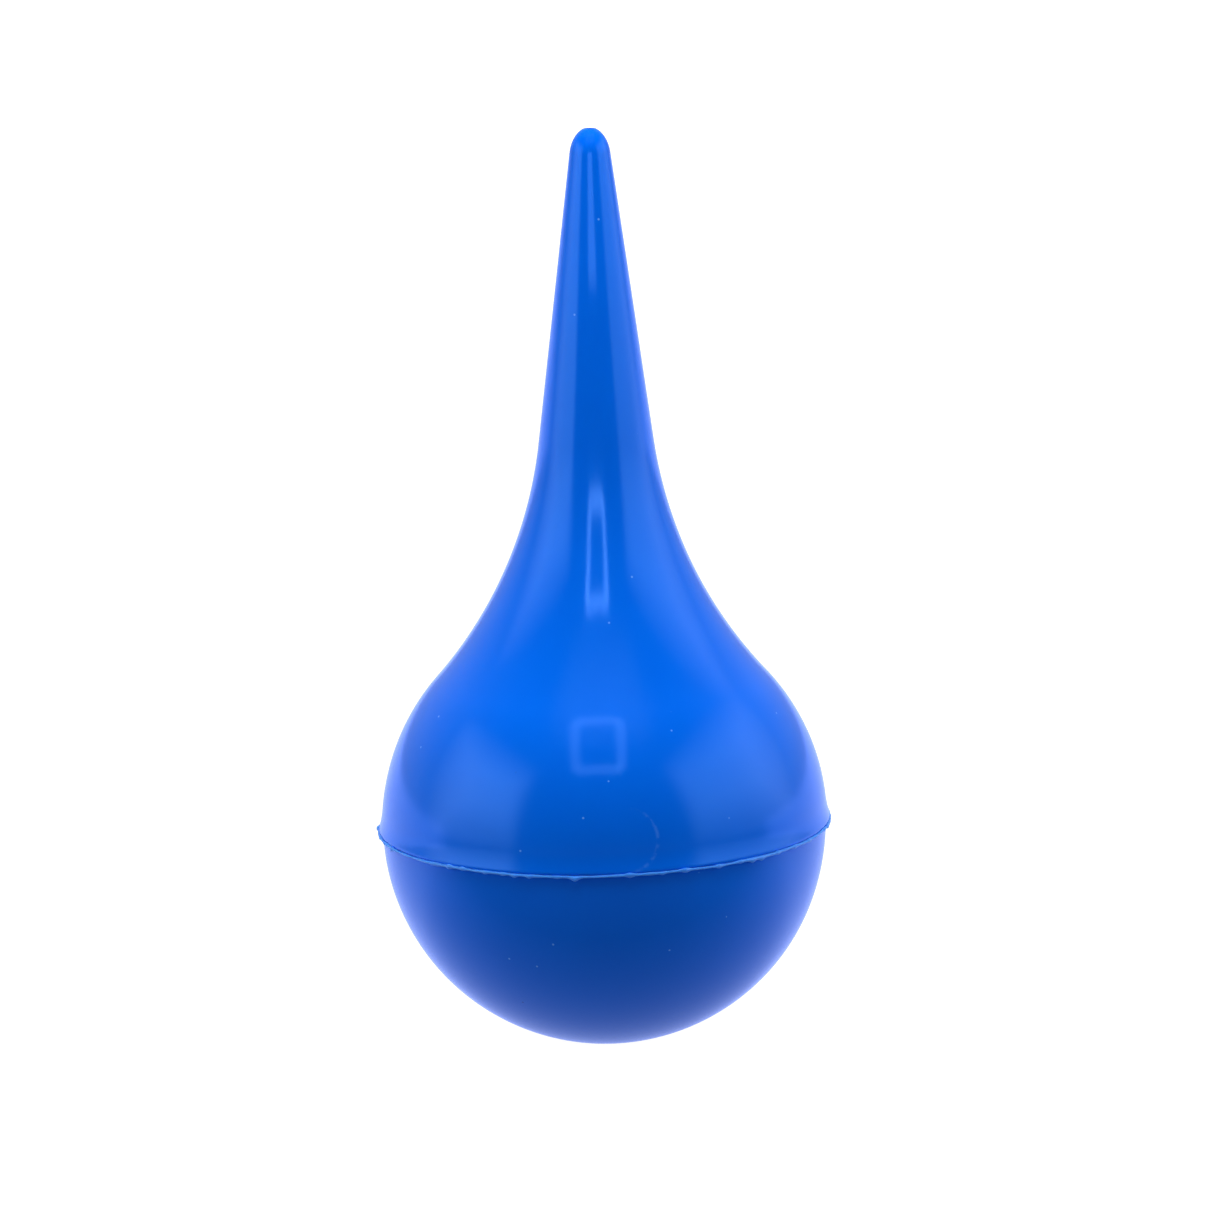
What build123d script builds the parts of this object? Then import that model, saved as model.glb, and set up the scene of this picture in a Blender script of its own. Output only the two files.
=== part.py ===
from build123d import *
import os
from math import acos, asin, atan2, cos, degrees, hypot, radians, sin, sqrt

# Infant nasal aspirator: a round rubber bulb that narrows into a long tapered nozzle.
# It is moulded as an upper half, which carries the neck and the nozzle, and a lower cup.
# The halves are bonded at the bulb's widest circle, where a thin line of flash shows.
# The origin is the centre of the flat foot, and +Z runs up the axis to the tip of the nozzle.

# Bulb
bulb_radius = 26.15  # outside of the lower half
bulb_wall = 2.0
mould_step = 0.14  # the upper half is this much larger all round
foot_radius = 6.5  # flat that the bulb stands on
foot_wall = 2.2  # floor over that flat
foot_edge_radius = 2.0

# Neck and nozzle, with heights counted from the centre of the bulb
nozzle_height = 82.3  # to the crown of the tip
nozzle_half_angle = 7.35  # taper, in degrees
nozzle_end_radius = 1.97  # of the taper, where it would reach the crown's height
nozzle_wall = 2.4
neck_radius = 52.5  # hollow curve between the bulb and the taper
crown_height = 3.7  # half-axis of the domed tip, along the nozzle
orifice_radius = 0.6
orifice_edge_radius = 0.1

# Bond between the halves
flash_thickness = 0.35
flash_reach = 0.6  # how far the flash stands out of the lower half
flash_bead = 0.2  # how far it stands into the bulb
flash_edge_radius = 0.12
lip_reach = 0.3  # how far the upper half's rim flares out of its ball
lip_height = 0.25  # straight edge of that rim
lip_flare_radius = 12.0  # hollow curve that runs from the rim into the ball

# Heights of the foot and the rims from the centre of the bulb
foot_depth = sqrt(bulb_radius**2 - foot_radius**2)
rim_height = flash_thickness / 2
half_angle = radians(nozzle_half_angle)

# The outlines are drawn in a plane through the axis, with its origin at the bulb's centre
profile_plane = Plane(origin=(0, 0, foot_depth), x_dir=(1, 0, 0), z_dir=(0, -1, 0))
seam_plane = Plane.XY.offset(foot_depth)


def taper_distance(end_radius):
    # Distance from the bulb's centre to the taper's straight side
    return end_radius * cos(half_angle) + nozzle_height * sin(half_angle)


def taper_point(distance, along):
    # Point of the taper's side, measured along it from the foot of that distance
    return (
        distance * cos(half_angle) - along * sin(half_angle),
        distance * sin(half_angle) + along * cos(half_angle),
    )


def neck_centre(ball_radius, arc_radius, distance):
    # Centre of the arc that touches the ball and the taper from outside
    reach = ball_radius + arc_radius
    along = sqrt(reach**2 - (distance + arc_radius) ** 2)
    return taper_point(distance + arc_radius, along)


def ball_angle(centre):
    return degrees(atan2(centre[1], centre[0]))


def rim_angle(ball_radius):
    return degrees(asin(rim_height / ball_radius))


# Upper half: bulb, neck and nozzle
upper_radius = bulb_radius + mould_step
upper_bore = upper_radius - bulb_wall
lip_radius = upper_radius + lip_reach

outer_distance = taper_distance(nozzle_end_radius)
inner_distance = outer_distance - nozzle_wall
inner_neck_radius = neck_radius + nozzle_wall
outer_centre = neck_centre(upper_radius, neck_radius, outer_distance)
inner_centre = neck_centre(upper_bore, inner_neck_radius, inner_distance)

# The flare's arc passes through the top of the rim and touches the ball from outside
lip_top = (lip_radius, rim_height + lip_height)
lip_distance = hypot(*lip_top)
flare_reach = upper_radius + lip_flare_radius
flare_cosine = (flare_reach**2 + lip_distance**2 - lip_flare_radius**2) / (2 * flare_reach * lip_distance)
flare_turn = acos(flare_cosine)
flare_angle = flare_turn + asin(lip_top[1] / lip_distance)
flare_centre = (flare_reach * cos(flare_angle), flare_reach * sin(flare_angle))
flare_start = degrees(atan2(lip_top[1] - flare_centre[1], lip_top[0] - flare_centre[0])) % 360
flare_end = degrees(flare_angle) + 180

# The crown is an ellipse about the axis, and its side half-axis is the one that meets the taper smoothly
crown_base = nozzle_height - crown_height
crown_reach = outer_distance - crown_base * sin(half_angle)
crown_radius = sqrt(crown_reach**2 - (crown_height * sin(half_angle)) ** 2) / cos(half_angle)
crown_start = degrees(asin(crown_height * sin(half_angle) / crown_reach))
crown_end = degrees(acos(orifice_radius / crown_radius))

# The channel narrows with the nozzle, and runs on as a straight bore where it reaches the orifice's size
bore_along = (inner_distance * cos(half_angle) - orifice_radius) / sin(half_angle)
bore_bottom = taper_point(inner_distance, bore_along)

with BuildPart() as nozzle_shell:
    with BuildSketch(profile_plane) as nozzle_profile:
        with BuildLine() as nozzle_outline:
            rim_edge = Line((lip_radius, rim_height), lip_top)
            CenterArc(flare_centre, lip_flare_radius, flare_start, flare_end - flare_start)
            ball_turn = ball_angle(outer_centre) - degrees(flare_angle)
            CenterArc((0, 0), upper_radius, degrees(flare_angle), ball_turn)
            neck_turn = nozzle_half_angle - ball_angle(outer_centre)
            neck_arc = CenterArc(outer_centre, neck_radius, 180 + ball_angle(outer_centre), neck_turn)
            crown = EllipticalCenterArc(
                (0, crown_base), crown_radius, crown_height, crown_start, arc_size=crown_end - crown_start
            )
            Line(neck_arc @ 1, crown @ 0)
            bore_line = Line(crown @ 1, bore_bottom)
            inner_turn = ball_angle(inner_centre) - nozzle_half_angle
            inner_neck = CenterArc(inner_centre, inner_neck_radius, 180 + nozzle_half_angle, inner_turn)
            Line(bore_line @ 1, inner_neck @ 0)
            hollow_turn = rim_angle(upper_bore) - ball_angle(inner_centre)
            hollow = CenterArc((0, 0), upper_bore, ball_angle(inner_centre), hollow_turn)
            Line(hollow @ 1, rim_edge @ 0)
        make_face()
    revolve(axis=Axis.Z)
    mouth = nozzle_shell.edges().filter_by(GeomType.CIRCLE).group_by(Axis.Z)[-1]
    fillet(mouth, orifice_edge_radius)
nozzle_shell.part.label = "nozzle_shell"

# Lower half: a cup with a flat foot and a level floor inside
lower_bore = bulb_radius - bulb_wall
floor_depth = foot_depth - foot_wall
foot_angle = -degrees(acos(foot_radius / bulb_radius))
floor_angle = -degrees(asin(floor_depth / lower_bore))

with BuildPart() as base_shell:
    with BuildSketch(profile_plane) as base_profile:
        with BuildLine() as base_outline:
            outside = CenterArc(
                (0, 0), bulb_radius, -rim_angle(bulb_radius), foot_angle + rim_angle(bulb_radius)
            )
            foot = Line(outside @ 1, (0, -foot_depth))
            axis_line = Line(foot @ 1, (0, -floor_depth))
            inside = CenterArc(
                (0, 0), lower_bore, floor_angle, -floor_angle - rim_angle(lower_bore)
            )
            Line(axis_line @ 1, inside @ 0)
            Line(inside @ 1, outside @ 0)
        make_face()
    revolve(axis=Axis.Z)
    foot_edge = base_shell.edges().filter_by(GeomType.CIRCLE).group_by(Axis.Z)[0]
    fillet(foot_edge, foot_edge_radius)
base_shell.part.label = "base_shell"

# Flash: the ring of bonded rubber squeezed out between the two rims
with BuildPart() as seam_flash:
    with BuildSketch(seam_plane) as flash_ring:
        Circle(bulb_radius + flash_reach)
        Circle(lower_bore - flash_bead, mode=Mode.SUBTRACT)
    extrude(amount=rim_height, both=True)
    fin_edges = seam_flash.edges().filter_by(GeomType.CIRCLE).group_by(SortBy.RADIUS)[-1]
    fillet(fin_edges, flash_edge_radius)
seam_flash.part.label = "seam_flash"

os.makedirs("parts", exist_ok=True)
export_step(nozzle_shell.part, "parts/nozzle_shell.step")
export_step(base_shell.part, "parts/base_shell.step")
export_step(seam_flash.part, "parts/seam_flash.step")
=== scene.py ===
import math

import bpy
import numpy as np
from mathutils import Matrix, Quaternion, Vector


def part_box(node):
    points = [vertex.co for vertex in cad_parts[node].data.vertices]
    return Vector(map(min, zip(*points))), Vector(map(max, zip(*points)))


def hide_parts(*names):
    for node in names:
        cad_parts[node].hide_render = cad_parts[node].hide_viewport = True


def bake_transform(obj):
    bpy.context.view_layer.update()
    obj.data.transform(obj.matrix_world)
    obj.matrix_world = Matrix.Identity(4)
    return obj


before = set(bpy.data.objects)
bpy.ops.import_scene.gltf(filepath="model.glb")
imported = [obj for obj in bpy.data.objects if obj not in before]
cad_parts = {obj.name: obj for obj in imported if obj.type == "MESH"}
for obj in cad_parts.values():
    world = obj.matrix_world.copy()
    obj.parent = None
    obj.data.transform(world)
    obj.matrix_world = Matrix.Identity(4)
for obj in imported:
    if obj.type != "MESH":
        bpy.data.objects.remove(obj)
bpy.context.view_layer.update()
mm = 0.001

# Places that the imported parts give
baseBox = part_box("base_shell")
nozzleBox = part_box("nozzle_shell")
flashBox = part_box("seam_flash")
seamHeight = (flashBox[0].z + flashBox[1].z) / 2
flashHalf = (flashBox[1].z - flashBox[0].z) / 2
tipHeight = nozzleBox[1].z - seamHeight  # from the bulb's centre
print("frame loaded, seam at", round(seamHeight / mm, 2), "mm")


# Camera: a little above the bulb, looking at the foot of the neck
cameraSettings = {
    "distance": 0.6,
    "elevation": math.radians(10.97),
    "aimAboveSeam": 25.91 * mm,
    "aside": 0.83 * mm,
    "roll": math.radians(-1.25),
    "lens": 151.6,
}


def makeCamera(s):
    camera = bpy.data.objects.new("camera", bpy.data.cameras.new("camera"))
    bpy.context.scene.collection.objects.link(camera)
    camera.data.lens = s["lens"]
    camera.data.sensor_width = 36
    camera.data.clip_start = 0.01
    back = Vector((0, -math.cos(s["elevation"]), math.sin(s["elevation"])))
    camera.location = Vector((s["aside"], 0, seamHeight + s["aimAboveSeam"])) + back * s["distance"]
    camera.rotation_mode = "QUATERNION"
    camera.rotation_quaternion = back.to_track_quat("Z", "Y") @ Quaternion((0, 0, 1), s["roll"])
    bpy.context.scene.camera = camera


makeCamera(cameraSettings)
print("camera made")


# Outlines: points (radius, height) in metres, with heights from the bulb's centre

def arc(centre, radius, start, end, count):
    # centre + radius * (cos a, sin a), for a from start to end
    a = np.linspace(start, end, count)
    return np.stack([centre[0] + radius * np.cos(a), centre[1] + radius * np.sin(a)], axis=1)


def ellipse(height, across, along, start, end, count):
    # (across * cos a, height + along * sin a), for a from start to end
    a = np.linspace(start, end, count)
    return np.stack([across * np.cos(a), height + along * np.sin(a)], axis=1)


def straight(first, last, count):
    # first + (last - first) * t, for t inside 0 to 1, without the ends
    t = np.linspace(0, 1, count + 2)[1:-1, None]
    return np.array(first) * (1 - t) + np.array(last) * t


def rounded(corner, before, after, radius, count):
    # Corner cut by a curve that starts and ends radius away from it, (1-t)^2 a + 2t(1-t) c + t^2 b
    corner, before, after = (np.array(p, float) for p in (corner, before, after))
    a = corner + (before - corner) / np.linalg.norm(before - corner) * radius
    b = corner + (after - corner) / np.linalg.norm(after - corner) * radius
    t = np.linspace(0, 1, count)[:, None]
    return (1 - t) ** 2 * a + 2 * t * (1 - t) * corner + t**2 * b


def neckCentre(ball, hollow, side, slope):
    # Centre of the arc of radius hollow that touches the ball and the straight side from outside
    across = side + hollow
    along = math.sqrt((ball + hollow) ** 2 - across**2)
    return (
        across * math.cos(slope) - along * math.sin(slope),
        across * math.sin(slope) + along * math.cos(slope),
    )


# Wobble: sums of waves round the axis, the same on every run

def waves(angle, rng, lowest, highest, falloff):
    # Sum of cos(k a + p) / k^falloff over whole k, scaled to a spread of 1
    k = np.arange(lowest, highest + 1)
    phase = rng.uniform(0, 2 * math.pi, len(k))
    size = k ** -float(falloff)
    total = (np.cos(angle[:, None] * k + phase) * size).sum(axis=1)
    return total / math.sqrt((size**2).sum() / 2)


def makeMesh(name, points, faces):
    # restPlace keeps each point's place at rest, so patterns stay put on the rubber when it is squeezed
    mesh = bpy.data.meshes.new(name)
    mesh.from_pydata(points.tolist(), [], faces)
    mesh.validate()
    mesh.polygons.foreach_set("use_smooth", np.ones(len(mesh.polygons), bool))
    kept = mesh.attributes.new("restPlace", "FLOAT_VECTOR", "POINT")
    kept.data.foreach_set("vector", points.astype(np.float32).ravel())
    mesh.update()
    piece = bpy.data.objects.new(name, mesh)
    bpy.context.scene.collection.objects.link(piece)
    return piece


def turned(name, outline, turns, shape, closed):
    # Surface P(i, j) = (R cos a, R sin a, seam + Z), with R, Z = shape(outline[i], a), a = 2 pi j / turns.
    # An open outline starts and ends on the axis, where each end is one point with a fan of triangles.
    angle = np.arange(turns) * 2 * math.pi / turns
    ring = outline if closed else outline[1:-1]
    radius, height = shape(ring[:, 0][:, None], ring[:, 1][:, None], angle[None, :])
    grid = np.stack([radius * np.cos(angle), radius * np.sin(angle), seamHeight + height], axis=2)
    points = grid.reshape(-1, 3)
    rows = len(ring)
    i = np.arange(rows if closed else rows - 1)[:, None] * turns
    j = np.arange(turns)[None, :]
    nextJ = (j + 1) % turns
    nextI = (i + turns) % (rows * turns)
    quads = np.stack([i + j, i + nextJ, nextI + nextJ, nextI + j], axis=2).reshape(-1, 4)
    faces = quads.tolist()
    if not closed:
        first, last = len(points), len(points) + 1
        ends = [[0, 0, seamHeight + outline[0][1]], [0, 0, seamHeight + outline[-1][1]]]
        points = np.concatenate([points, ends])
        edge = np.arange(turns)
        after = (edge + 1) % turns
        top = (rows - 1) * turns
        faces += np.stack([np.full(turns, first), after, edge], axis=1).tolist()
        faces += np.stack([np.full(turns, last), top + edge, top + after], axis=1).tolist()
    return makeMesh(name, points, faces)


# How the two mouldings meet: the parting line is a little out of square with the axis
seam = {
    "tilt": math.radians(0.65),  # higher on the right
    "fade": 9 * mm,  # how far from the seam the tilt dies away
    "ovality": 0.05 * mm,
    "wobble": 0.03 * mm,
    "full": 20 * mm,  # radius from which the wobble is at its full size
}
seamRandom = np.random.default_rng(11)
wobblePhase = seamRandom.uniform(0, 2 * math.pi, 3)


def settle(radius, height, angle):
    # R = r + (o cos 2a + w (cos(3a + z/7mm) + cos(5a - z/4mm)) / 2) * min(r / full, 1)
    # Z = z + tilt * r cos a * exp(-(z / fade)^2)
    soft = np.minimum(radius / seam["full"], 1)
    out = seam["ovality"] * np.cos(2 * angle + wobblePhase[0])
    out = out + seam["wobble"] / 2 * np.cos(3 * angle + wobblePhase[1] + height / (7 * mm))
    out = out + seam["wobble"] / 2 * np.cos(5 * angle + wobblePhase[2] - height / (4 * mm))
    lift = seam["tilt"] * radius * np.cos(angle) * np.exp(-((height / seam["fade"]) ** 2))
    return radius + out * soft, height + lift


# Upper moulding: half ball, hollow neck curve, tapered nozzle, domed tip and the channel inside
upper = {
    "ball": 26.29 * mm,
    "wall": 2.0 * mm,
    "neck": 52.5 * mm,
    "slope": math.radians(7.35),
    "endRadius": 2.0 * mm,  # of the taper at the crown's height
    "crown": 3.7 * mm,
    "mouthCut": 0.17 * mm,  # height that the mouth takes off the dome
    "nozzleWall": 2.4 * mm,
    "orifice": 0.6 * mm,
    "mouthEdge": 0.1 * mm,
    "lipEdge": 0.12 * mm,
    "lipHeight": 0.25 * mm,
    "flare": 12 * mm,
    "turns": 320,
}


def upperOutline(s):
    slope = s["slope"]
    crownTop = tipHeight + s["mouthCut"]
    side = s["endRadius"] * math.cos(slope) + crownTop * math.sin(slope)
    outerNeck = neckCentre(s["ball"], s["neck"], side, slope)
    crownFoot = crownTop - s["crown"]
    reach = side - crownFoot * math.sin(slope)
    across = math.sqrt(reach**2 - (s["crown"] * math.sin(slope)) ** 2) / math.cos(slope)
    crownStart = math.asin(s["crown"] * math.sin(slope) / reach)
    crownEnd = math.acos((s["orifice"] + s["mouthEdge"]) / across)

    lip = nozzleBox[1].x
    lipTop = (lip, flashHalf + s["lipHeight"])
    far = math.hypot(*lipTop)
    flareReach = s["ball"] + s["flare"]
    turn = math.acos((flareReach**2 + far**2 - s["flare"] ** 2) / (2 * flareReach * far))
    flareAngle = turn + math.asin(lipTop[1] / far)
    flareCentre = (flareReach * math.cos(flareAngle), flareReach * math.sin(flareAngle))
    flareStart = math.atan2(lipTop[1] - flareCentre[1], lipTop[0] - flareCentre[0]) % (2 * math.pi)

    inner = s["ball"] - s["wall"]
    innerSide = side - s["nozzleWall"]
    innerNeck = neckCentre(inner, s["neck"] + s["nozzleWall"], innerSide, slope)
    boreAlong = (innerSide * math.cos(slope) - s["orifice"]) / math.sin(slope)
    boreFoot = (s["orifice"], innerSide * math.sin(slope) + boreAlong * math.cos(slope))

    outerTurn = math.atan2(outerNeck[1], outerNeck[0])
    innerTurn = math.atan2(innerNeck[1], innerNeck[0])
    flare = arc(flareCentre, s["flare"], flareStart, flareAngle + math.pi, 14)
    ball = arc((0, 0), s["ball"], flareAngle, outerTurn, 60)[1:]
    neck = arc(outerNeck, s["neck"], math.pi + outerTurn, math.pi + slope, 56)[1:]
    crown = ellipse(crownFoot, across, s["crown"], crownStart, crownEnd, 26)
    taper = straight(neck[-1], crown[0], 44)
    mouthLow = (s["orifice"], crown[-1][1] - s["mouthEdge"])
    mouth = rounded((s["orifice"], crown[-1][1]), crown[-1], mouthLow, s["mouthEdge"], 5)[1:]
    innerArc = arc(innerNeck, s["neck"] + s["nozzleWall"], math.pi + slope, math.pi + innerTurn, 24)
    hollow = arc((0, 0), inner, innerTurn, math.asin(flashHalf / inner), 22)[1:]
    bore = straight(mouth[-1], boreFoot, 8)
    channel = straight(boreFoot, innerArc[0], 10)
    rimIn, rimOut = (inner, flashHalf), (lip, flashHalf)
    rim = straight(rimIn, rimOut, 4)
    foot = rounded(rimOut, rimIn, lipTop, s["lipEdge"], 4)
    return np.concatenate(
        [foot, flare, ball, neck, taper, crown, mouth, bore, [boreFoot], channel, innerArc, hollow, rim]
    )


# Lower moulding: half-ball cup with a flat foot and a level floor inside
lower = {
    "wall": 2.0 * mm,
    "footRadius": 6.5 * mm,
    "footEdge": 0.5 * mm,
    "footWall": 2.2 * mm,
    "rimEdge": 0.1 * mm,
    "turns": 320,
}


def lowerOutline(s):
    ball = math.hypot(baseBox[1].x, flashHalf)
    inner = ball - s["wall"]
    footDepth, floorDepth = seamHeight, seamHeight - s["footWall"]
    footTurn = -math.acos(s["footRadius"] / ball)
    rimTurn = -math.asin(flashHalf / ball)
    floorTurn = -math.asin(floorDepth / inner)
    innerRim = -math.asin(flashHalf / inner)
    outside = arc((0, 0), ball, footTurn, rimTurn, 76)
    inside = arc((0, 0), inner, innerRim, floorTurn, 34)
    footEdge = rounded(outside[0], (0, -footDepth), outside[2], s["footEdge"], 6)
    rimEdge = rounded(outside[-1], outside[-3], inside[0], s["rimEdge"], 4)
    sole = straight((0, -footDepth), footEdge[0], 6)
    floor = straight(inside[-1], (0, -floorDepth), 6)
    return np.concatenate(
        [[(0, -footDepth)], sole, footEdge, outside[2:-1], rimEdge, inside, floor, [(0, -floorDepth)]]
    )


# Flash: a thin ragged fin round the outside, and a bead inside
flash = {
    "reach": 0.024 * mm,  # past the ring's edge
    "ragged": 0.02 * mm,
    "swell": 0.16,  # share that the thickness varies by
    "droop": 0.03 * mm,
    "flat": 0.85,  # height of the nose's section, as a share of a half round
    "skirt": 0.5 * mm,  # how far in from the edge the fin is ragged
    "bead": 0.2 * mm,  # into the bulb
    "turns": 1440,
    "nibWidth": 0.36 * mm,
    "nibReach": 0.12 * mm,
    "nibSwell": 0.7,
    "nibHang": 0.13 * mm,
    "nibs": 44,  # scattered round the sides and back, from so many degrees right of the front
    "scatter": (62, 318),
    # the front's nibs: degrees right of the front, size
    "frontNibs": (
        (-38, 0.7), (-31, 0.6), (-26, 0.5), (-23, 1.0), (-19, 0.6), (-12, 0.5), (-7.5, 1.5), (6, 1.0),
        (14, 0.5), (20, 1.1), (29, 0.8), (35.5, 0.6), (39, 1.0), (42, 0.9), (48, 0.9), (55, 0.7),
    ),
}


def makeFlash(s):
    # A flat ring section with a half-round nose, whose reach, drop and thickness vary with the angle
    rng = np.random.default_rng(5)
    angle = np.arange(s["turns"]) * 2 * math.pi / s["turns"]
    front = -math.pi / 2
    places = [(front + math.radians(degrees), size) for degrees, size in s["frontNibs"]]
    scatter = [front + math.radians(degrees) for degrees in s["scatter"]]
    for spot in rng.uniform(*scatter, s["nibs"]):
        places.append((spot, rng.uniform(0.2, 0.8)))
    nibs = np.zeros(s["turns"])
    hang = np.zeros(s["turns"])
    for spot, size in places:
        # a bell size * exp(-(away / width)^2), wider for a bigger nib
        away = (angle - spot + math.pi) % (2 * math.pi) - math.pi
        width = s["nibWidth"] * (0.6 + 0.5 * size) / flashBox[1].x
        bump = np.exp(-((away / width) ** 2)) * size
        nibs += bump
        hang += bump * rng.uniform(-0.2, 1.0)
    rag = waves(angle, rng, 9, 140, 0.35)
    swell = s["swell"] * waves(angle, rng, 6, 90, 0.4) + s["nibSwell"] * nibs
    reach = s["reach"] + s["ragged"] * rag + s["nibReach"] * nibs
    drop = s["droop"] * waves(angle, np.random.default_rng(8), 3, 24, 0.5) + s["nibHang"] * hang

    nose = arc((0, 0), 1, -math.pi / 2, math.pi / 2, 9)
    outer = flashBox[1].x - flashHalf
    inner = baseBox[1].x - lower["wall"] - s["bead"]
    start = outer - s["skirt"]
    body = [(start, flashHalf), (inner, flashHalf), (inner, -flashHalf), (start, -flashHalf)]
    section = nose * (flashHalf, flashHalf * s["flat"]) + (outer, 0)
    share = np.repeat([1, 0], [len(section), len(body)])[:, None]

    def shape(radius, height, turn):
        # R = r + share * reach(a);  Z = z * (1 + share * swell(a)) - share * drop(a)
        out = radius + share * reach
        return settle(out, height * (1 + share * swell) - share * drop, turn)

    return turned("flashFin", np.concatenate([section, body]), s["turns"], shape, closed=True)


print("making the mouldings")
upperMoulding = turned("upperMoulding", upperOutline(upper), upper["turns"], settle, closed=True)
lowerMoulding = turned("lowerMoulding", lowerOutline(lower), lower["turns"], settle, closed=False)
flashFin = makeFlash(flash)


# Materials

def linear(hexColour):
    parts = [int(hexColour[k:k + 2], 16) / 255 for k in (1, 3, 5)]
    return tuple(c / 12.92 if c <= 0.04045 else ((c + 0.055) / 1.055) ** 2.4 for c in parts) + (1.0,)


def addNode(tree, kind, settings=None, links=None):
    # One node: settings by property or input, links by input, from an output or from a node's first one
    node = tree.nodes.new(kind)
    for key, value in (settings or {}).items():
        if isinstance(key, int) or key in node.inputs:
            node.inputs[key].default_value = value
        else:
            setattr(node, key, value)
    for key, source in (links or {}).items():
        output = source.outputs[0] if hasattr(source, "outputs") else source
        tree.links.new(output, node.inputs[key])
    return node


def newMaterial(name):
    material = bpy.data.materials.new(name)
    material.use_nodes = True
    material.node_tree.nodes.clear()
    return material, material.node_tree


rubber = {
    "colour": "#006EF6",
    "deep": "#0064E6",
    "cloud": 14 * mm,
    "handled": 0.165,  # roughness of the bulb
    "clean": 0.155,  # and of the nozzle
    "cleanFrom": (14 * mm, 32 * mm),  # above the seam
    "smear": 6 * mm,
    "uneven": (-0.012, 0.02),  # what smears change the roughness by
    "grain": 0.45 * mm,
    "grainHeight": 0.01 * mm,
    "grainStrength": 0.12,
    "tint": (0.16, 0.42, 1.0, 1.0),  # of the highlights, bluer than real rubber gives
    "dust": {"colour": "#5FA0FF", "spacing": 3.2 * mm, "size": 0.16 * mm, "share": 0.5},
    "grime": {"colour": "#003C9E", "spacing": 5.5 * mm, "size": 0.17 * mm, "share": 0.22},
    # a lighter crescent on the front of the bulb
    "lightCrescent": {
        "colour": "#5FA0FF",
        "centre": (2.5 * mm, -25.9 * mm, 3.9 * mm),  # from the bulb's centre
        "radius": 3.6 * mm,
        "width": 0.3 * mm,
        "side": (0.2 * mm, 2 * mm),  # right of the centre, where it begins and is full
        "breaks": 0.8 * mm,
        "strength": 0.28,
    },
}


def specks(tree, place, base, s):
    # Specks of one kind: a ball in some cells of a lattice of points, seen where the surface cuts it
    cells = addNode(tree, "ShaderNodeTexVoronoi", {"Scale": 1 / s["spacing"]}, {"Vector": place})
    reach = s["size"] / s["spacing"]
    edge = {1: reach * 0.6, 2: reach, 3: 1, 4: 0}
    near = addNode(tree, "ShaderNodeMapRange", edge, {0: cells.outputs["Distance"]})
    pick = addNode(tree, "ShaderNodeSeparateColor", None, {0: cells.outputs["Color"]})
    chosen = addNode(tree, "ShaderNodeMath", {"operation": "LESS_THAN", 1: s["share"]}, {0: pick})
    mask = addNode(tree, "ShaderNodeMath", {"operation": "MULTIPLY"}, {0: near, 1: chosen})
    colour = {"data_type": "RGBA", 7: linear(s["colour"])}
    return addNode(tree, "ShaderNodeMix", colour, {0: mask, 6: base}).outputs[2]


def lightCrescent(tree, place, base, s):
    # A lighter crescent on the front of the bulb: the right-hand side of a thin circle, broken up by noise
    centre = (s["centre"][0], s["centre"][1], seamHeight + s["centre"][2])
    away = addNode(tree, "ShaderNodeVectorMath", {"operation": "SUBTRACT", 1: centre}, {0: place})
    far = addNode(tree, "ShaderNodeVectorMath", {"operation": "LENGTH"}, {0: away}).outputs["Value"]
    off = addNode(tree, "ShaderNodeMath", {"operation": "SUBTRACT", 1: s["radius"]}, {0: far})
    thin = addNode(tree, "ShaderNodeMath", {"operation": "ABSOLUTE"}, {0: off})
    line = addNode(tree, "ShaderNodeMapRange", {1: 0, 2: s["width"], 3: s["strength"], 4: 0}, {0: thin})
    across = addNode(tree, "ShaderNodeSeparateXYZ", None, {0: away})
    right = addNode(tree, "ShaderNodeMapRange", {1: s["side"][0], 2: s["side"][1]}, {0: across})
    noise = addNode(tree, "ShaderNodeTexNoise", {"Scale": 1 / s["breaks"]}, {"Vector": place})
    broken = addNode(tree, "ShaderNodeMapRange", {1: 0.4, 2: 0.6}, {0: noise})
    both = addNode(tree, "ShaderNodeMath", {"operation": "MULTIPLY"}, {0: line, 1: right})
    mask = addNode(tree, "ShaderNodeMath", {"operation": "MULTIPLY"}, {0: both, 1: broken})
    colour = {"data_type": "RGBA", 7: linear(s["colour"])}
    return addNode(tree, "ShaderNodeMix", colour, {0: mask, 6: base}).outputs[2]


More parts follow.
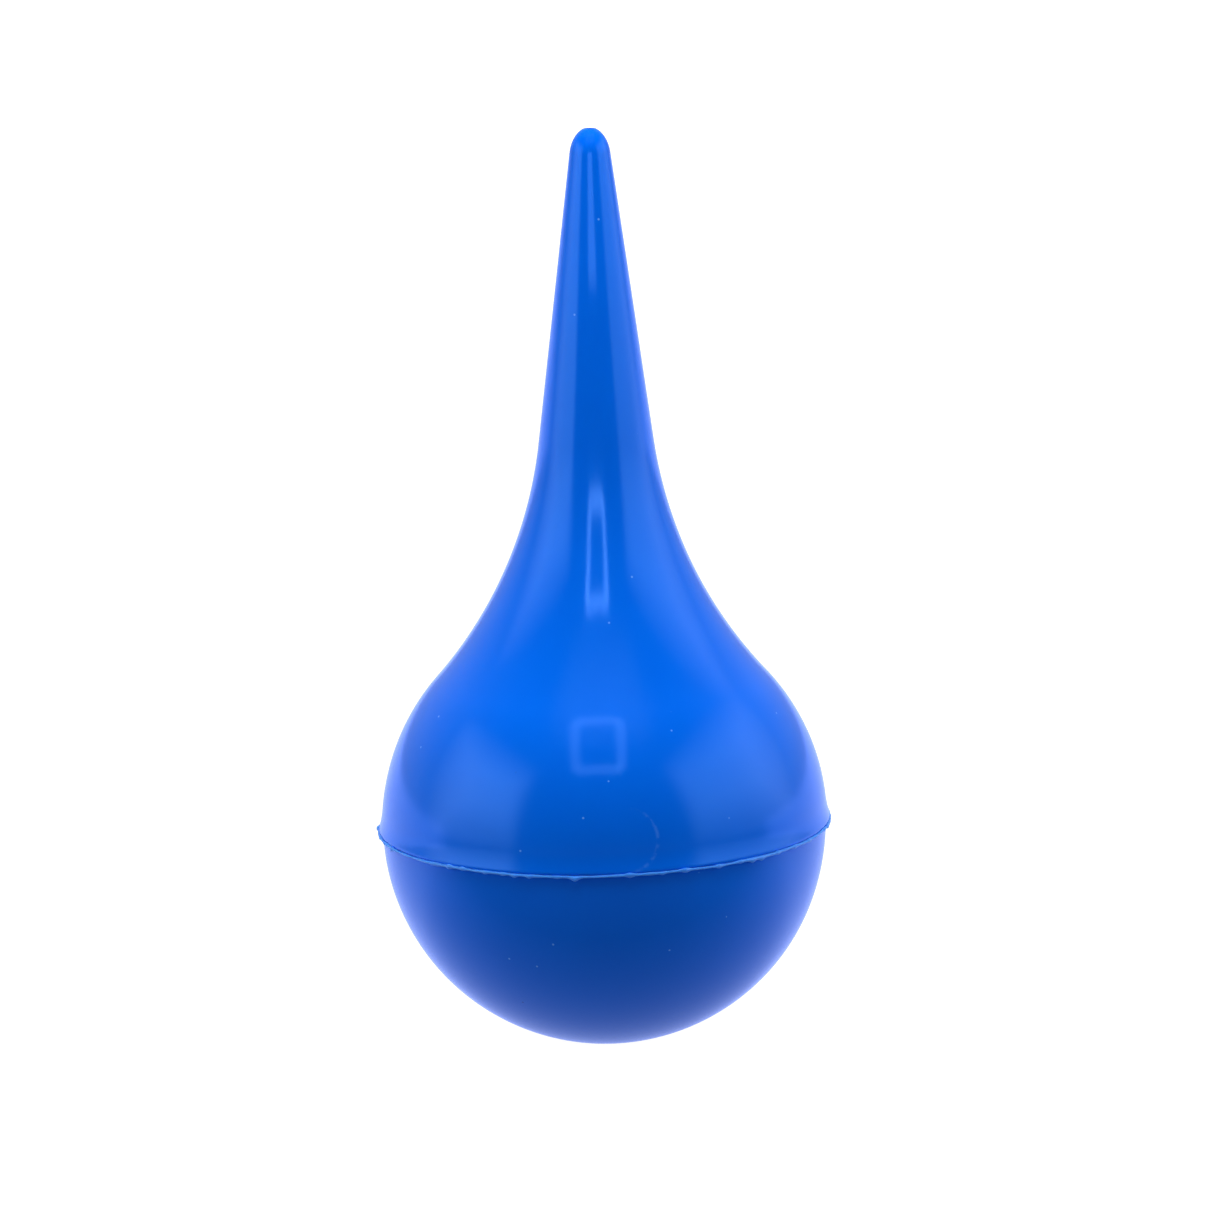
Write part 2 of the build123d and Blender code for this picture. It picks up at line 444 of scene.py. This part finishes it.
def mouldedRubber(s):
    # Soft vulcanised rubber, pigmented blue and pressed in a satin mould: an even deep colour with faint
    # clouds, a fine grain, and a low sheen that is duller on the bulb, where fingers and talc have been
    material, tree = newMaterial("mouldedRubber")
    place = addNode(tree, "ShaderNodeAttribute", {"attribute_name": "restPlace"}).outputs["Vector"]
    tones = {"data_type": "RGBA", 6: linear(s["colour"]), 7: linear(s["deep"])}
    cloud = addNode(tree, "ShaderNodeTexNoise", {"Scale": 1 / s["cloud"], "Detail": 3.0}, {"Vector": place})
    tone = addNode(tree, "ShaderNodeMix", tones, {0: cloud}).outputs[2]
    tone = specks(tree, place, tone, s["dust"])
    tone = specks(tree, place, tone, s["grime"])
    tone = lightCrescent(tree, place, tone, s["lightCrescent"])
    height = addNode(tree, "ShaderNodeSeparateXYZ", None, {0: place}).outputs[2]
    start, end = (seamHeight + above for above in s["cleanFrom"])
    wear = {1: start, 2: end, 3: s["handled"], 4: s["clean"]}
    worn = addNode(tree, "ShaderNodeMapRange", wear, {0: height})
    smear = addNode(tree, "ShaderNodeTexNoise", {"Scale": 1 / s["smear"], "Detail": 4.0}, {"Vector": place})
    least, most = s["uneven"]
    uneven = addNode(tree, "ShaderNodeMapRange", {1: 0.3, 2: 0.7, 3: least, 4: most}, {0: smear})
    dull = addNode(tree, "ShaderNodeMath", {"operation": "ADD"}, {0: worn, 1: uneven})
    grain = addNode(tree, "ShaderNodeTexNoise", {"Scale": 1 / s["grain"], "Detail": 2.0}, {"Vector": place})
    relief = {"Strength": s["grainStrength"], "Distance": s["grainHeight"]}
    bump = addNode(tree, "ShaderNodeBump", relief, {"Height": grain})
    finish = {
        "IOR": 1.5,
        "Specular IOR Level": 1.0,
        "Specular Tint": s["tint"],
        "Subsurface Weight": 0.1,
        "Subsurface Radius": (0.3, 0.6, 1.0),
        "Subsurface Scale": 1.0 * mm,
    }
    skin = {"Base Color": tone, "Roughness": dull, "Normal": bump}
    shader = addNode(tree, "ShaderNodeBsdfPrincipled", finish, skin)
    addNode(tree, "ShaderNodeOutputMaterial", None, {"Surface": shader})
    return material


# the fin's paler colour is partly its thinness and partly a painted highlight along its edge
flashLook = {"colour": "#3A8AFF", "roughness": 0.35, "thin": 1.2 * mm}


def flashRubberAndHighlight(s):
    # The same rubber squeezed out paper-thin at the parting line: paler, partly because light passes
    # through it and partly as a painted highlight of its edge catching the light from above
    material, tree = newMaterial("flashRubberAndHighlight")
    finish = {
        "Base Color": linear(s["colour"]),
        "Roughness": s["roughness"],
        "Subsurface Weight": 0.5,
        "Subsurface Radius": (0.4, 0.7, 1.0),
        "Subsurface Scale": s["thin"],
    }
    shader = addNode(tree, "ShaderNodeBsdfPrincipled", finish)
    addNode(tree, "ShaderNodeOutputMaterial", None, {"Surface": shader})
    return material


rubberSkin = mouldedRubber(rubber)
upperMoulding.data.materials.append(rubberSkin)
lowerMoulding.data.materials.append(rubberSkin)
flashFin.data.materials.append(flashRubberAndHighlight(flashLook))
print("materials made")


# Each piece with its transform baked in, and the imported part that it stands for hidden
for piece, node, slot in (
    (upperMoulding, "nozzle_shell", "bulb_rubber"),
    (lowerMoulding, "base_shell", "bulb_rubber"),
    (flashFin, "seam_flash", "seam_rubber"),
):
    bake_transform(piece)
    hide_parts(node)


# Lamps: a soft box at each side, a key overhead, and small lamps near the rubber that only gloss sees
lamps = {
    "key": {"place": (0, -75 * mm, 290 * mm), "size": (0.2, 0.2), "brightness": 5.0},
    # a side box spans degrees round the bulb's centre, and is sheets that each draw in by the feather
    "leftBox": {"inner": -45, "outer": -102, "low": -8, "high": 40, "brightness": 1.85},
    "rightBox": {"inner": 43, "outer": 115, "low": -6, "high": 46, "brightness": 1.45},
    "feather": {"inner": 1.5, "outer": 5, "low": 5, "high": 3},
    "sheets": {"count": 5, "distance": 0.5, "gap": 4 * mm},
    # a square ring over the bulb, a loop before the neck, and a strip before the tip
    "ring": {
        "low": (5.4 * mm, -34.0 * mm, 20.7 * mm),  # right-hand corners, from the bulb's centre
        "high": (5.1 * mm, -25.6 * mm, 29.2 * mm),
        "aside": -1.2 * mm,
        "strip": 2.2 * mm,
        "brightness": 1.5,
    },
    "loop": {
        "low": (3.3 * mm, -21 * mm, 37.1 * mm),
        "high": (3.5 * mm, -21 * mm, 44.2 * mm),
        "aside": -0.9 * mm,
        "strip": 1.3 * mm,
        "brightness": 5.0,
    },
    "glint": {"place": (-0.8 * mm, -30 * mm, 77.5 * mm), "size": (12 * mm, 19 * mm), "brightness": 2.0},
}


def around(azimuth, elevation, distance):
    # Azimuth 0 is the camera's side, and it grows to the right. The centre is the bulb's.
    a, e = math.radians(azimuth), math.radians(elevation)
    return Vector((
        distance * math.sin(a) * math.cos(e),
        -distance * math.cos(a) * math.cos(e),
        seamHeight + distance * math.sin(e),
    ))


def addLamp(name, place, out, size, brightness, along=None):
    # out points from the lamp's back, along runs with its width. Its power is brightness * pi * area,
    # so brightness is what a mirror would show.
    lamp = bpy.data.lights.new(name, "AREA")
    lamp.shape = "RECTANGLE"
    lamp.size, lamp.size_y = size
    lamp.energy = brightness * math.pi * size[0] * size[1]
    holder = bpy.data.objects.new(name, lamp)
    holder.location = place
    z = out.normalized()
    x = (along or Vector((0, 0, 1)).cross(z)).normalized()
    holder.rotation_mode = "QUATERNION"
    holder.rotation_quaternion = Matrix((x, z.cross(x), z)).transposed().to_quaternion()
    holder.visible_camera = False
    bpy.context.scene.collection.objects.link(holder)
    return holder


def makeLamps(s):
    middle = Vector((0, 0, seamHeight))
    soft, sheets = s["feather"], s["sheets"]
    for name in ("leftBox", "rightBox"):
        box = s[name]
        side = math.copysign(1, box["inner"])
        for k in range(sheets["count"]):
            inner = box["inner"] + side * k * soft["inner"]
            outer = box["outer"] - side * k * soft["outer"]
            low, high = box["low"] + k * soft["low"], box["high"] - k * soft["high"]
            far = sheets["distance"] + k * sheets["gap"]
            place = around((inner + outer) / 2, (low + high) / 2, far)
            spans = (abs(outer - inner), high - low)
            size = [2 * far * math.tan(math.radians(span / 2)) for span in spans]
            addLamp(f"{name}{k}", place, place - middle, size, box["brightness"] / sheets["count"])
    key = s["key"]
    place = Vector(key["place"])
    lamp = addLamp("key", place, place - middle, key["size"], key["brightness"])
    lamp.visible_glossy = False
    for name in ("ring", "loop"):
        ring = s[name]
        lowRight, highRight = Vector(ring["low"]), Vector(ring["high"])
        lowLeft, highLeft = (Vector((-p.x, p.y, p.z)) for p in (lowRight, highRight))
        away = (lowRight - lowLeft).cross(highLeft - lowLeft)
        corners = (lowLeft, lowRight, highRight, highLeft)
        for k, (start, end) in enumerate(zip(corners, corners[1:] + corners[:1])):
            size = ((end - start).length, ring["strip"])
            place = middle + Vector((ring["aside"], 0, 0)) + (start + end) / 2
            lamp = addLamp(f"{name}{k}", place, away, size, ring["brightness"], end - start)
            lamp.visible_diffuse = False
    glint = s["glint"]
    away = Vector((0, -1, 0))
    lamp = addLamp("glint", middle + Vector(glint["place"]), away, glint["size"], glint["brightness"])
    lamp.visible_diffuse = False


# Table and surroundings: each has one strength to the eye, one in gloss and one as light on the rubber,
# so that the background is white and the rubber stays deep. The surroundings light it most from behind.
table = {
    "reach": 6.0,
    "albedo": 0.75,
    "bounce": 0.33,  # what lights the rubber from below
    "gloss": (0.75, 0.92, 1.8),  # what gloss shows of it at the sides and behind, bluer than it looks
    "frontGloss": 0.16,  # share of it in front of the bulb, which is in the bulb's shade
    "shade": (-40 * mm, 10 * mm),  # where that shade gives way, from front to back
    "near": 1.25,  # to the eye, under the bulb
    "far": 1.5,
    "edges": (0.15, 0.8),  # how far out near and far are
    "shadow": 0.2,  # share of the paint that takes shadows
}


def makeTable(s):
    mesh = bpy.data.meshes.new("table")
    r = s["reach"]
    mesh.from_pydata([(-r, -r, 0), (r, -r, 0), (r, r, 0), (-r, r, 0)], [], [(0, 1, 2, 3)])
    piece = bpy.data.objects.new("table", mesh)
    bpy.context.scene.collection.objects.link(piece)
    material, tree = newMaterial("paleTable")
    path = addNode(tree, "ShaderNodeLightPath")
    isCamera, isGlossy = path.outputs["Is Camera Ray"], path.outputs["Is Glossy Ray"]
    place = addNode(tree, "ShaderNodeTexCoord").outputs["Object"]
    depth = addNode(tree, "ShaderNodeSeparateXYZ", None, {0: place}).outputs[1]
    start, end = s["shade"]
    fade = addNode(tree, "ShaderNodeMapRange", {1: start, 2: end, 3: s["frontGloss"], 4: 1}, {0: depth})
    shine = addNode(tree, "ShaderNodeVectorMath", {"operation": "SCALE", 0: s["gloss"]}, {3: fade})
    bounce = {"data_type": "RGBA", 6: (s["bounce"],) * 3 + (1,)}
    unseen = addNode(tree, "ShaderNodeMix", bounce, {0: isGlossy, 7: shine}).outputs[2]
    away = addNode(tree, "ShaderNodeVectorMath", {"operation": "LENGTH"}, {0: place}).outputs["Value"]
    inner, outer = s["edges"]
    eye = addNode(tree, "ShaderNodeMapRange", {1: inner, 2: outer, 3: s["near"], 4: s["far"]}, {0: away})
    shown = addNode(tree, "ShaderNodeMix", {"data_type": "RGBA"}, {0: isCamera, 6: unseen, 7: eye})
    glow = addNode(tree, "ShaderNodeEmission", {"Strength": 1.0}, {"Color": shown.outputs[2]})
    paint = addNode(tree, "ShaderNodeBsdfDiffuse", {"Color": (s["albedo"],) * 3 + (1,)})
    share = addNode(tree, "ShaderNodeMath", {"operation": "MULTIPLY", 1: s["shadow"]}, {0: isCamera})
    both = addNode(tree, "ShaderNodeMixShader", None, {0: share, 1: glow, 2: paint})
    addNode(tree, "ShaderNodeOutputMaterial", None, {"Surface": both.outputs[0]})
    mesh.materials.append(material)


surroundings = {
    "front": 0.03,
    "gloss": 0.37,  # what gloss shows behind the bulb
    "light": 2.1,  # what lights the rubber from behind
    "overhead": -0.6,  # how much darker gloss is higher up
    "seen": 1.0,
    "ramp": (-0.3, 0.7),
}


def makeWorld(s):
    # Dim on the camera's side and light behind the bulb, so its rims shine and its front stays deep
    world = bpy.data.worlds.new("studio")
    world.use_nodes = True
    tree = world.node_tree
    tree.nodes.clear()
    direction = addNode(tree, "ShaderNodeTexCoord")
    path = addNode(tree, "ShaderNodeLightPath")
    ramps = []
    for lean, most in ((s["overhead"], s["gloss"]), (0, s["light"])):
        # smoothstep from front to most, as y + lean * z goes along the ramp
        towards = {"operation": "DOT_PRODUCT", 1: (0, 1, lean)}
        along = addNode(tree, "ShaderNodeVectorMath", towards, {0: direction.outputs["Generated"]})
        start, end = s["ramp"]
        span = {"interpolation_type": "SMOOTHSTEP", 1: start, 2: end, 3: s["front"], 4: most}
        ramps.append(addNode(tree, "ShaderNodeMapRange", span, {0: along.outputs["Value"]}).outputs[0])
    isDiffuse, isCamera = path.outputs["Is Diffuse Ray"], path.outputs["Is Camera Ray"]
    unseen = addNode(tree, "ShaderNodeMix", None, {0: isDiffuse, 2: ramps[0], 3: ramps[1]}).outputs[0]
    strength = addNode(tree, "ShaderNodeMix", {3: s["seen"]}, {0: isCamera, 2: unseen}).outputs[0]
    background = addNode(tree, "ShaderNodeBackground", {"Color": (1, 1, 1, 1)}, {"Strength": strength})
    addNode(tree, "ShaderNodeOutputWorld", None, {"Surface": background.outputs[0]})
    bpy.context.scene.world = world


makeLamps(lamps)
makeTable(table)
makeWorld(surroundings)
bpy.context.scene.view_settings.view_transform = "Standard"
print("lamps, table and surroundings made")
